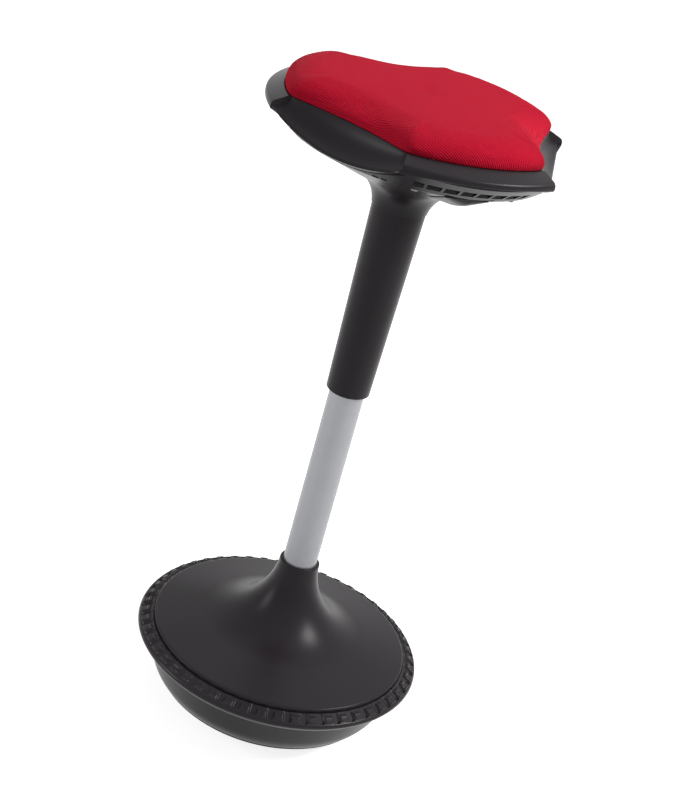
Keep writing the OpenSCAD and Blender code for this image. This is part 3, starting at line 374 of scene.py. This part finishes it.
cover = {
    "bore": 21.9,
    "boreDepth": 9,
    "collar": 25.6,
    "top": 213.5,
    "collarRound": 1.6,
    "collarSteps": 6,
    "flareRadius": 100,
    "flareDrop": 2.0,        # from the flare's centre down to the collar's top
    "flareStart": 182.2,
    "flareSteps": 60,
    "slope": 12.4,
    "edge": 164.3,
    "edgeHeight": 105.4,
    "beadIn": 4,
    "beadRise": (0.7, 0.2),  # over the edge's height, where the bead starts and at its corner
    "beadDrop": 3,
    "beadTrim": 3.92,
    "beadSteps": 8,
    "skirtFoot": 97.8,
    "wall": 3,
    "innerStop": 10,         # degrees that the inside ends short of the flare's start
    "innerSteps": 20,
    "steps": 240,
    "crease": 35,
}


def coverSection(spec):
    top, edge, height = spec["top"], spec["edge"], spec["edgeHeight"]
    centre = (spec["collar"] + spec["flareRadius"], top + spec["flareDrop"])
    end = 270 - spec["slope"]                  # 270 points straight down
    flare = arc(centre, spec["flareRadius"], spec["flareStart"], end, spec["flareSteps"])
    inner = arc(centre, spec["flareRadius"] + spec["wall"], end,
                spec["flareStart"] + spec["innerStop"], spec["innerSteps"])
    lip = bendCorner((spec["bore"], top), (spec["collar"], top), flare[0],
                     spec["collarRound"], spec["collarSteps"])
    startRise, cornerRise = spec["beadRise"]
    bead = bendCorner((edge - spec["beadIn"], height + startRise), (edge, height + cornerRise),
                      (edge, height - spec["beadDrop"]), spec["beadTrim"], spec["beadSteps"])
    inside = edge - spec["wall"]
    return ([(spec["bore"], top)] + lip + flare + bead
            + [(edge, spec["skirtFoot"]), (inside, spec["skirtFoot"]),
               (inside, height - spec["wall"])] + inner
            + [(spec["bore"], top - spec["boreDepth"])])


def revolve(section, steps):
    return skin([[polar(r, 360 * i / steps, z) for r, z in section] for i in range(steps)])


makePiece("coverShell", revolve(coverSection(cover), cover["steps"]), "base", "black_plastic",
          ["base_cover"], cover["crease"])
print("cover made")


# Tread ring: raised pads with scoops between them

tread = {
    "count": 52,
    "turn": 0.8,             # bearing of the first scoop, degrees
    "pitchRadius": 175,      # where the pitch of the scoops is measured
    "bore": 158.2,
    "ledge": (165.7, 97.8),  # the corner that the cover's skirt stands in
    "lipTop": 101.8,
    "topEdge": (166.7, 102.8),
    "brow": (181.2, 95.2),
    "rim": (183.0, 91.5),
    "rimRound": 1.2,
    "rimSteps": 3,
    "under": ((183.0, 90.5), (181, 87.5), (176.3, 83), (175.3, 82), (174, 82), (174, 85)),
    "padSpan": (171.1, 179.9),
    "padWidth": 10.4,
    "padRise": 0.5,
    "padRound": 1.0,
    "padRibs": (172.2, 178.9),
    "padRibWidth": 0.8,
    "padRibRise": 0.9,
    "grooveReach": 170.3,
    "grooveDepth": 2.6,
    "grooveFade": (0.9, 0.4),   # inwards and outwards of its reach
    "scoopWidth": 10.0,
    "scoopDepth": 3.2,
    "scoopFade": (1.3, 0.4),
    "scoopEnd": 180.6,
    "stepsPerPitch": 26,
    "slopeSteps": 34,
    "crease": 50,
}


def treadRelief(spec, radius, offset, pitch):   # height over the slope, offset from a scoop
    half = spec["scoopWidth"] / 2
    reach = math.hypot(offset, max(0, radius - (spec["scoopEnd"] - half)))
    fadeIn, fadeOut = spec["scoopFade"]
    scoop = 1 - smooth(half - fadeIn, half + fadeOut, reach)
    fadeIn, fadeOut = spec["grooveFade"]
    groove = 1 - smooth(spec["grooveReach"] - fadeIn, spec["grooveReach"] + fadeOut, radius)
    gap = max(abs(pitch / 2 - abs(offset)) - spec["padWidth"] / 2 + spec["padRound"],
              spec["padSpan"][0] - radius + spec["padRound"],
              radius - spec["padSpan"][1] + spec["padRound"])
    pad = 1 - smooth(0, spec["padRound"], gap)
    ribs = sum(math.exp(-((radius - r) / spec["padRibWidth"]) ** 2) for r in spec["padRibs"])
    return (pad * (spec["padRise"] + ribs * spec["padRibRise"])
            - max(scoop * spec["scoopDepth"], groove * spec["grooveDepth"]))


def treadSection(spec, bearing):
    pitch = 2 * math.pi * spec["pitchRadius"] / spec["count"]
    place = (bearing - spec["turn"]) / 360 * spec["count"]
    offset = (place - round(place)) * pitch
    (r0, z0), (r1, z1), (rimR, rimZ) = spec["topEdge"], spec["brow"], spec["rim"]
    slope = math.atan2(z0 - z1, r1 - r0)
    ledgeR, ledgeZ = spec["ledge"]
    section = [(spec["bore"], ledgeZ), (ledgeR, ledgeZ),
               (ledgeR, spec["lipTop"] + treadRelief(spec, r0, offset, pitch))]
    for i in range(spec["slopeSteps"] + 1):
        share = i / spec["slopeSteps"]
        radius, height = lerp(r0, r1, share), lerp(z0, z1, share)
        rise = treadRelief(spec, radius, offset, pitch)
        section.append((radius + rise * math.sin(slope), height + rise * math.cos(slope)))
    section += bendCorner((r1, z1), (rimR, rimZ + spec["rimRound"]), (rimR, rimZ),
                          spec["rimRound"], spec["rimSteps"])
    return section + [*spec["under"], (spec["bore"], spec["under"][-1][1])]


def treadSkin(spec):
    steps = spec["count"] * spec["stepsPerPitch"]
    rows = []
    for i in range(steps):
        bearing = 360 * i / steps
        rows.append([polar(r, bearing, z) for r, z in treadSection(spec, bearing)])
    return skin(rows)


makePiece("treadRing", treadSkin(tread), "base", "tread_plastic", ["tread_ring"],
          tread["crease"])
print("tread made")


# Seat: three lobes with a hand recess between each two; pan and cushion share their edge

folds = 3
third = 360 / folds
pan = {
    "lobeBack": 37,          # the lobes' circles are centred this far behind the column
    "hole": 42,
    "shelf": 809.6,
    "shelfUnder": 806.6,
    "shelfTrim": 0.3,
    "shelfInset": 4,         # how far in the shelf's underside ends
    "trayCircle": 198,
    "trayTop": 810.3,
    "trayLip": 3,
    "trayTrim": 0.5,
    "edgeCircle": 216,
    "ridge": (801.2, 802.1),   # height of the ridge at a lobe's middle and ends
    "ridgeTrim": (3, 5),
    "ridgeInside": (5, 3.5),   # inwards and down from the ridge
    "sideDrop": 5,           # the side bends halfway between its foot and this far below the ridge
    "sideTrim": (1.5, 0.6),  # at the recesses and at the lobes
    "lobeFoot": (795.5, 793),
    "footIn": 1.2,
    "footTrim": 0.4,
    "recessHalf": 30,
    "rimReach": (155, 177),  # from the column to the rim, at a recess's middle and ends
    "rimHeight": (777.2, 796.2),
    "rimTrim": 1.2,
    "rimPasses": 6,
    "bandIn": 5,
    "bandDrop": 6.2,
    "bandOut": 2.6,          # the wall swells out this far, a little below the rim
    "bandOutDrop": 2.6,
    "bend": (0.69, 0.274),   # place of the recess's bend, from the rim to the cushion
    "bendFree": 1.6,         # left straight between the bend's curve and the nearer corner
    "endSwell": (26.5, 182, 798),      # where the outer wall swells out to, past this angle
    "endFootIn": 1,
    "wall": 3,
    "cornerSteps": (2, 12, 5, 3, 2),
    "lobeSteps": 16,
    "recessSteps": 64,
    "seam": 0.04,            # each stretch ends this far short of the next, degrees
    "crease": 35,
}
cushion = {
    "footReach": (160, 133.4),   # at the lobes and at the notches
    "wideReach": (160.4, 131.6),
    "notchHalf": 29.8,
    "cornerRound": 3.5,
    "footDraw": 0.8,
    "bulge": (0.1, 0.0),
    "foot": 810.4,
    "underside": 809.8,
    "underShares": (0.03, 0.3, 0.6, 0.85, 0.97),   # rows of the underside, out to the foot
    "wideShare": 0.25,
    "sideSteps": 6,
    "brow": (834.8, 834.7),
    "browInset": (20, 44),
    "browPower": 1.6,
    "browSteps": 18,
    "crown": 836.6,
    "crownSteps": 18,
    "crownShare": 0.98,      # the crown's last row lies this far in from the brow
    "steps": 240,
    "heldRows": 7,           # rows of points from the middle of the underside, kept in place
    "pressure": 4,
    "clothQuality": 6,
    "puffFrames": 20,
    "puffCap": 1.2,          # furthest that the cloth pass may move a point
    "crease": 80,
}


def lobeReach(circle, turn):                   # turn is measured from the lobe's middle
    back, t = pan["lobeBack"], math.radians(turn)
    return math.sqrt(circle ** 2 - (back * math.sin(t)) ** 2) - back * math.cos(t)


def cushionEdge(bearing, reaches):
    lobeOut, notchOut = reaches
    circle, half = lobeOut + pan["lobeBack"], cushion["notchHalf"]
    turn = abs(bearing - third * round(bearing / third))
    lobe = lobeReach(circle, third / 2 - turn)
    shoulder = lobeReach(circle, third / 2 - half)
    t, h = math.radians(turn), math.radians(half)
    curve = (shoulder * math.cos(h) - notchOut) / (shoulder * math.sin(h)) ** 2
    room = max(math.cos(t) ** 2 - 4 * curve * notchOut * math.sin(t) ** 2, 0)
    notch = 2 * notchOut / (math.cos(t) + math.sqrt(room))
    soft, least = cushion["cornerRound"], min(lobe, notch)
    return least - soft * math.log(math.exp((least - lobe) / soft)
                                   + math.exp((least - notch) / soft))


def rimPoint(theta):                           # the rim lies on an arc in a leaning plane
    reachMid, reachEnd = pan["rimReach"]
    lowZ, highZ = pan["rimHeight"]
    endTurn = math.radians(pan["recessHalf"])
    endX, endY = reachEnd * math.cos(endTurn), reachEnd * math.sin(endTurn)
    lean = math.atan2(reachMid - endX, highZ - lowZ)
    rise = math.hypot(reachMid - endX, highZ - lowZ)
    sweep = (endY ** 2 + rise ** 2) / (2 * rise)
    t, x, up = math.radians(theta), reachMid, 0
    for _ in range(pan["rimPasses"]):
        up = sweep - math.sqrt(max(sweep ** 2 - (x * math.tan(t)) ** 2, 0))
        x = reachMid - up * math.sin(lean)
    return x / math.cos(t), lowZ + up * math.cos(lean)


def panSection(rounded, sharp):                # a rounded corner is (radius, height, trim)
    corners = [(pan["hole"], pan["shelf"])] + [corner[:2] for corner in rounded] + sharp
    points = corners[:1]
    for i, steps in enumerate(pan["cornerSteps"]):
        points += bendCorner(*corners[i:i + 3], rounded[i][2], steps)
    return points + sharp + [(pan["hole"], pan["shelfUnder"])]


def recessSection(theta):                      # theta is measured from the recess's middle
    rimR, rimZ = rimPoint(theta)
    footR, footZ = rimR - pan["bandIn"], rimZ - pan["bandDrop"]
    midR, midZ = rimR + pan["bandOut"], rimZ - pan["bandOutDrop"]
    start, endR, endZ = pan["endSwell"]
    swell = smooth(start, pan["recessHalf"], abs(theta))
    midR, midZ = lerp(midR, endR, swell), lerp(midZ, endZ, swell)
    footR = lerp(footR, endR - pan["endFootIn"], swell)
    footZ = lerp(footZ, pan["lobeFoot"][1], swell)
    topR, topZ = cushionEdge(theta, cushion["footReach"]) - cushion["footDraw"], pan["shelf"]
    bendR = lerp(rimR, topR, pan["bend"][0])
    bendZ = lerp(rimZ, topZ, pan["bend"][1])
    reach = min(math.dist(end, (bendR, bendZ)) for end in ((rimR, rimZ), (topR, topZ)))
    return panSection(
        [(topR, topZ, pan["shelfTrim"]), (bendR, bendZ, reach - pan["bendFree"]),
         (rimR, rimZ, pan["rimTrim"]), (midR, midZ, pan["sideTrim"][0]),
         (footR, footZ, pan["footTrim"])],
        [(footR - pan["wall"], footZ), (bendR - pan["wall"], bendZ - pan["wall"]),
         (topR - pan["shelfInset"], pan["shelfUnder"])])


def lobeSection(turn):                         # turn is measured from the lobe's middle
    trayR = lobeReach(pan["trayCircle"], turn)
    edgeR = lobeReach(pan["edgeCircle"], turn)
    share = (turn / pan["recessHalf"]) ** 2
    ridgeZ, footZ = lerp(*pan["ridge"], share), lerp(*pan["lobeFoot"], share)
    footR = edgeR - pan["footIn"]
    ridgeIn, ridgeDown = pan["ridgeInside"]
    return panSection(
        [(trayR - pan["trayLip"], pan["shelf"], pan["shelfTrim"]),
         (trayR, pan["trayTop"], pan["trayTrim"]),
         (edgeR, ridgeZ, lerp(*pan["ridgeTrim"], share)),
         (edgeR, (ridgeZ - pan["sideDrop"] + footZ) / 2, pan["sideTrim"][1]),
         (footR, footZ, pan["footTrim"])],
        [(footR - pan["wall"], footZ), (edgeR - ridgeIn, ridgeZ - ridgeDown),
         (trayR - pan["shelfInset"], pan["shelfUnder"])])


def panSkin(spec):
    half, seam, rows = spec["recessHalf"], spec["seam"], []
    lobeSteps, recessSteps = spec["lobeSteps"], spec["recessSteps"]
    lobeTurns = [(third / 2 - half - seam) * math.sin(math.pi / 2 * i / lobeSteps)
                 for i in range(-lobeSteps, lobeSteps + 1)]
    recessTurns = [(half - seam) * math.sin(math.pi * (i / recessSteps - 0.5))
                   for i in range(recessSteps + 1)]
    for fold in range(folds):
        recess, lobe = fold * third, (fold + 0.5) * third
        rows += [[polar(r, recess + theta, z) for r, z in recessSection(theta)]
                 for theta in recessTurns]
        rows += [[polar(r, lobe + turn, z) for r, z in lobeSection(turn)]
                 for turn in lobeTurns]
    return skin(rows)


makePiece("seatPan", panSkin(pan), "seat", "black_plastic", ["upper_pan"], pan["crease"])
print("pan made")


# Cushion: three lobes, crowned, with its sides drawn in at the foot

def cushionProfile(spec, bearing):             # from the middle of the underside to the crown
    share = 0.5 - 0.5 * math.cos(math.radians(folds * bearing))  # 1 at a lobe, 0 at a notch
    brow, inset, bulge = [lerp(notch, lobe, share)
                          for lobe, notch in (spec["brow"], spec["browInset"], spec["bulge"])]
    foot = cushionEdge(bearing, spec["footReach"]) - spec["footDraw"]
    wide = cushionEdge(bearing, spec["wideReach"]) + bulge
    wideZ = lerp(spec["foot"], brow, spec["wideShare"])
    crownR = wide - inset
    tilt = 2 * (spec["crown"] - brow) / crownR * inset / (brow - wideZ)
    points = [(foot * s, spec["underside"]) for s in spec["underShares"]]
    for i in range(spec["sideSteps"] + 1):
        s = i / spec["sideSteps"]
        points.append((lerp(foot, wide, math.sin(s * math.pi / 2)), lerp(spec["foot"], wideZ, s)))
    for i in range(1, spec["browSteps"] + 1):
        t = math.radians(90 * i / spec["browSteps"])
        across = 1 - math.cos(t) ** (2 / spec["browPower"])
        up = math.sin(t) ** (2 / spec["browPower"])
        points.append((wide - inset * across,
                       lerp(wideZ, brow, up * (1 - tilt) + across * tilt)))
    browIndex = len(points) - 1
    for i in range(1, spec["crownSteps"] + 1):
        s = 1 - i / spec["crownSteps"] * spec["crownShare"]
        points.append((crownR * s, lerp(spec["crown"], brow, s * s)))
    return points, browIndex


def puff(item, held, spec):                    # a short cloth pass, with air inside the cover
    item.vertex_groups.new(name="held").add(held, 1.0, "REPLACE")
    cloth = item.modifiers.new("cloth", "CLOTH")
    cloth.settings.quality = spec["clothQuality"]
    cloth.settings.use_pressure = True
    cloth.settings.uniform_pressure_force = spec["pressure"]
    cloth.settings.vertex_group_mass = "held"
    cloth.settings.effector_weights.gravity = 0
    cloth.collision_settings.use_collision = False
    cloth.point_cache.frame_start, cloth.point_cache.frame_end = 1, spec["puffFrames"]
    for frameNumber in range(1, spec["puffFrames"] + 1):
        scene.frame_set(frameNumber)
    shape = item.evaluated_get(bpy.context.evaluated_depsgraph_get()).data
    moves = [after.co - before.co for after, before in zip(shape.vertices, item.data.vertices)]
    item.modifiers.remove(cloth)
    cap = spec["puffCap"] * mm
    for point, move in zip(item.data.vertices, moves):
        point.co += move * min(1, cap / max(move.length, tiny))
    scene.frame_set(1)
    print("cloth pass moved points by up to", round(max(m.length for m in moves) / mm, 2),
          "mm, kept to", spec["puffCap"])


def markWeave(item, rows, brow, ribTurn):      # places across and along the ribs, for the knit
    turn, width = math.radians(ribTurn), len(rows[0])
    across = Vector((math.cos(turn), math.sin(turn)))
    along = Vector((-math.sin(turn), math.cos(turn)))
    weave = item.data.attributes.new("weave", "FLOAT_VECTOR", "POINT")
    for i, row in enumerate(rows):
        before, after = rows[i - 1][brow], rows[(i + 1) % len(rows)][brow]
        tangent = (Vector(after[:2]) - Vector(before[:2])).normalized()
        outward, edge, depth = Vector((tangent.y, -tangent.x)), Vector(row[brow][:2]), 0
        for j in reversed(range(width)):
            place = Vector(row[j][:2])
            if j < brow:                       # the sides are unrolled outwards from the brow
                depth += math.dist(row[j], row[j + 1])
                place = edge + outward * depth
            weave.data[i * width + j].vector = (place.dot(across) * mm, place.dot(along) * mm, 0)


def makeCushion(spec):
    steps = spec["steps"]
    profiles = [cushionProfile(spec, 360 * i / steps) for i in range(steps)]
    rows = [[polar(r, 360 * i / steps, z) for r, z in points]
            for i, (points, _) in enumerate(profiles)]
    points, faces = skin(rows, ringed=False)
    width = len(rows[0])
    faces.append(tuple(i * width for i in reversed(range(steps))))
    faces.append(tuple(i * width + width - 1 for i in range(steps)))
    item = makePiece("cushion", (points, faces), "seat", "red_knit",
                     ["fabric_cover", "foam_pad"], spec["crease"])
    held = [i * width + j for i in range(steps) for j in range(spec["heldRows"])]
    puff(item, held, spec)
    markWeave(item, rows, profiles[0][1], knit["ribTurn"])
    return item


cushionItem = makeCushion(cushion)
print("cushion made")


# The CAD nodes that show as they are: smooth shading over their curved faces

softening = {
    "weld": 0.00001,         # points closer than this are joined, metres
    "crease": 28,            # an edge that bends more than this stays sharp, degrees
}


def makeSoftener(spec):
    group = bpy.data.node_groups.new("softener", "GeometryNodeTree")
    for way in ("INPUT", "OUTPUT"):
        group.interface.new_socket("Geometry", in_out=way, socket_type="NodeSocketGeometry")
    add, join = group.nodes.new, group.links.new
    weld = add("GeometryNodeMergeByDistance")
    weld.inputs["Distance"].default_value = spec["weld"]
    strip = add("GeometryNodeRemoveAttribute")
    strip.inputs["Name"].default_value = "custom_normal"
    faces, edges = add("GeometryNodeSetShadeSmooth"), add("GeometryNodeSetShadeSmooth")
    edges.domain = "EDGE"
    edges.inputs["Shade Smooth"].default_value = False
    test = add("FunctionNodeCompare")
    test.operation = "GREATER_THAN"
    test.inputs[1].default_value = math.radians(spec["crease"])
    join(add("GeometryNodeInputMeshEdgeAngle").outputs[0], test.inputs[0])
    join(test.outputs[0], edges.inputs["Selection"])
    chain = [add("NodeGroupInput"), weld, strip, faces, edges, add("NodeGroupOutput")]
    for first, second in zip(chain, chain[1:]):
        join(first.outputs[0], second.inputs[0])
    return group


softener = makeSoftener(softening)
for name, item in nodes.items():
    item.data.materials.clear()
    item.data.materials.append(materials[slots[name]])
    if not item.hide_render:
        item.modifiers.new("softener", "NODES").node_group = softener
print("CAD nodes finished")


# Floor, backdrop and lights, in metres and watts

studio = {
    "floorHalf": 30,
    "floorShade": 0.45,      # grey of the floor for the light that it throws back
    "paperShade": 0.8,       # grey and glow of the floor where it is seen
    "paperGlow": 0.8,
    "skyLight": 0.31,        # the backdrop's strength as light, and where it is seen
    "skySeen": 1.0,
}
lamps = {
    "keyLamp": {"place": (2.3, -0.1, 2.6), "aim": (0, 0, 0.4), "power": 78, "size": (0.9, 0.9)},
    "topLamp": {"place": (0.2, 1.2, 3.2), "aim": (0, 0, 0.8), "power": 14, "size": (3.0, 3.0)},
    "leftLamp": {"place": (-2.3, -0.7, 0.95), "aim": (0, 0, 0.3), "power": 13,
                 "size": (0.6, 0.9)},
}


def makeFloor(spec):
    half = spec["floorHalf"]
    mesh = bpy.data.meshes.new("floor")
    mesh.from_pydata([(-half, -half, 0), (half, -half, 0), (half, half, 0), (-half, half, 0)],
                     [], [(0, 1, 2, 3)])
    floor = bpy.data.objects.new("floor", mesh)
    scene.collection.objects.link(floor)
    paint = Paint(bpy.data.materials.new("floorPaper"))
    dark, matt = [paint.node("ShaderNodeBsdfDiffuse", inputs={"Color": grey(spec[shade])})
                  for shade in ("floorShade", "paperShade")]
    glow = paint.node("ShaderNodeEmission", inputs={
        "Color": grey(1), "Strength": spec["paperGlow"]})
    paper = paint.node("ShaderNodeAddShader", inputs=[matt, glow])
    mesh.materials.append(paint.finish(
        paint.node("ShaderNodeMixShader", inputs=[paint.seen(), dark, paper])))


def makeLamp(name, spec):
    data = bpy.data.lights.new(name, "AREA")
    data.energy = spec["power"]
    data.shape = "RECTANGLE"
    data.size, data.size_y = spec["size"]
    item = bpy.data.objects.new(name, data)
    scene.collection.objects.link(item)
    item.location = spec["place"]
    item.rotation_mode = "QUATERNION"
    ahead = Vector(spec["aim"]) - Vector(spec["place"])
    item.rotation_quaternion = ahead.to_track_quat("-Z", "Y")


def makeWorld(spec):                           # brighter where it is seen than as a light
    paint = Paint(bpy.data.worlds.new("studio"))
    strength = spec["skyLight"] + paint.seen() * (spec["skySeen"] - spec["skyLight"])
    scene.world = paint.finish(
        paint.node("ShaderNodeBackground", inputs={"Color": grey(1), "Strength": strength}),
        "ShaderNodeOutputWorld")


makeFloor(studio)
makeWorld(studio)
for name, spec in lamps.items():
    makeLamp(name, spec)
print("stage set")
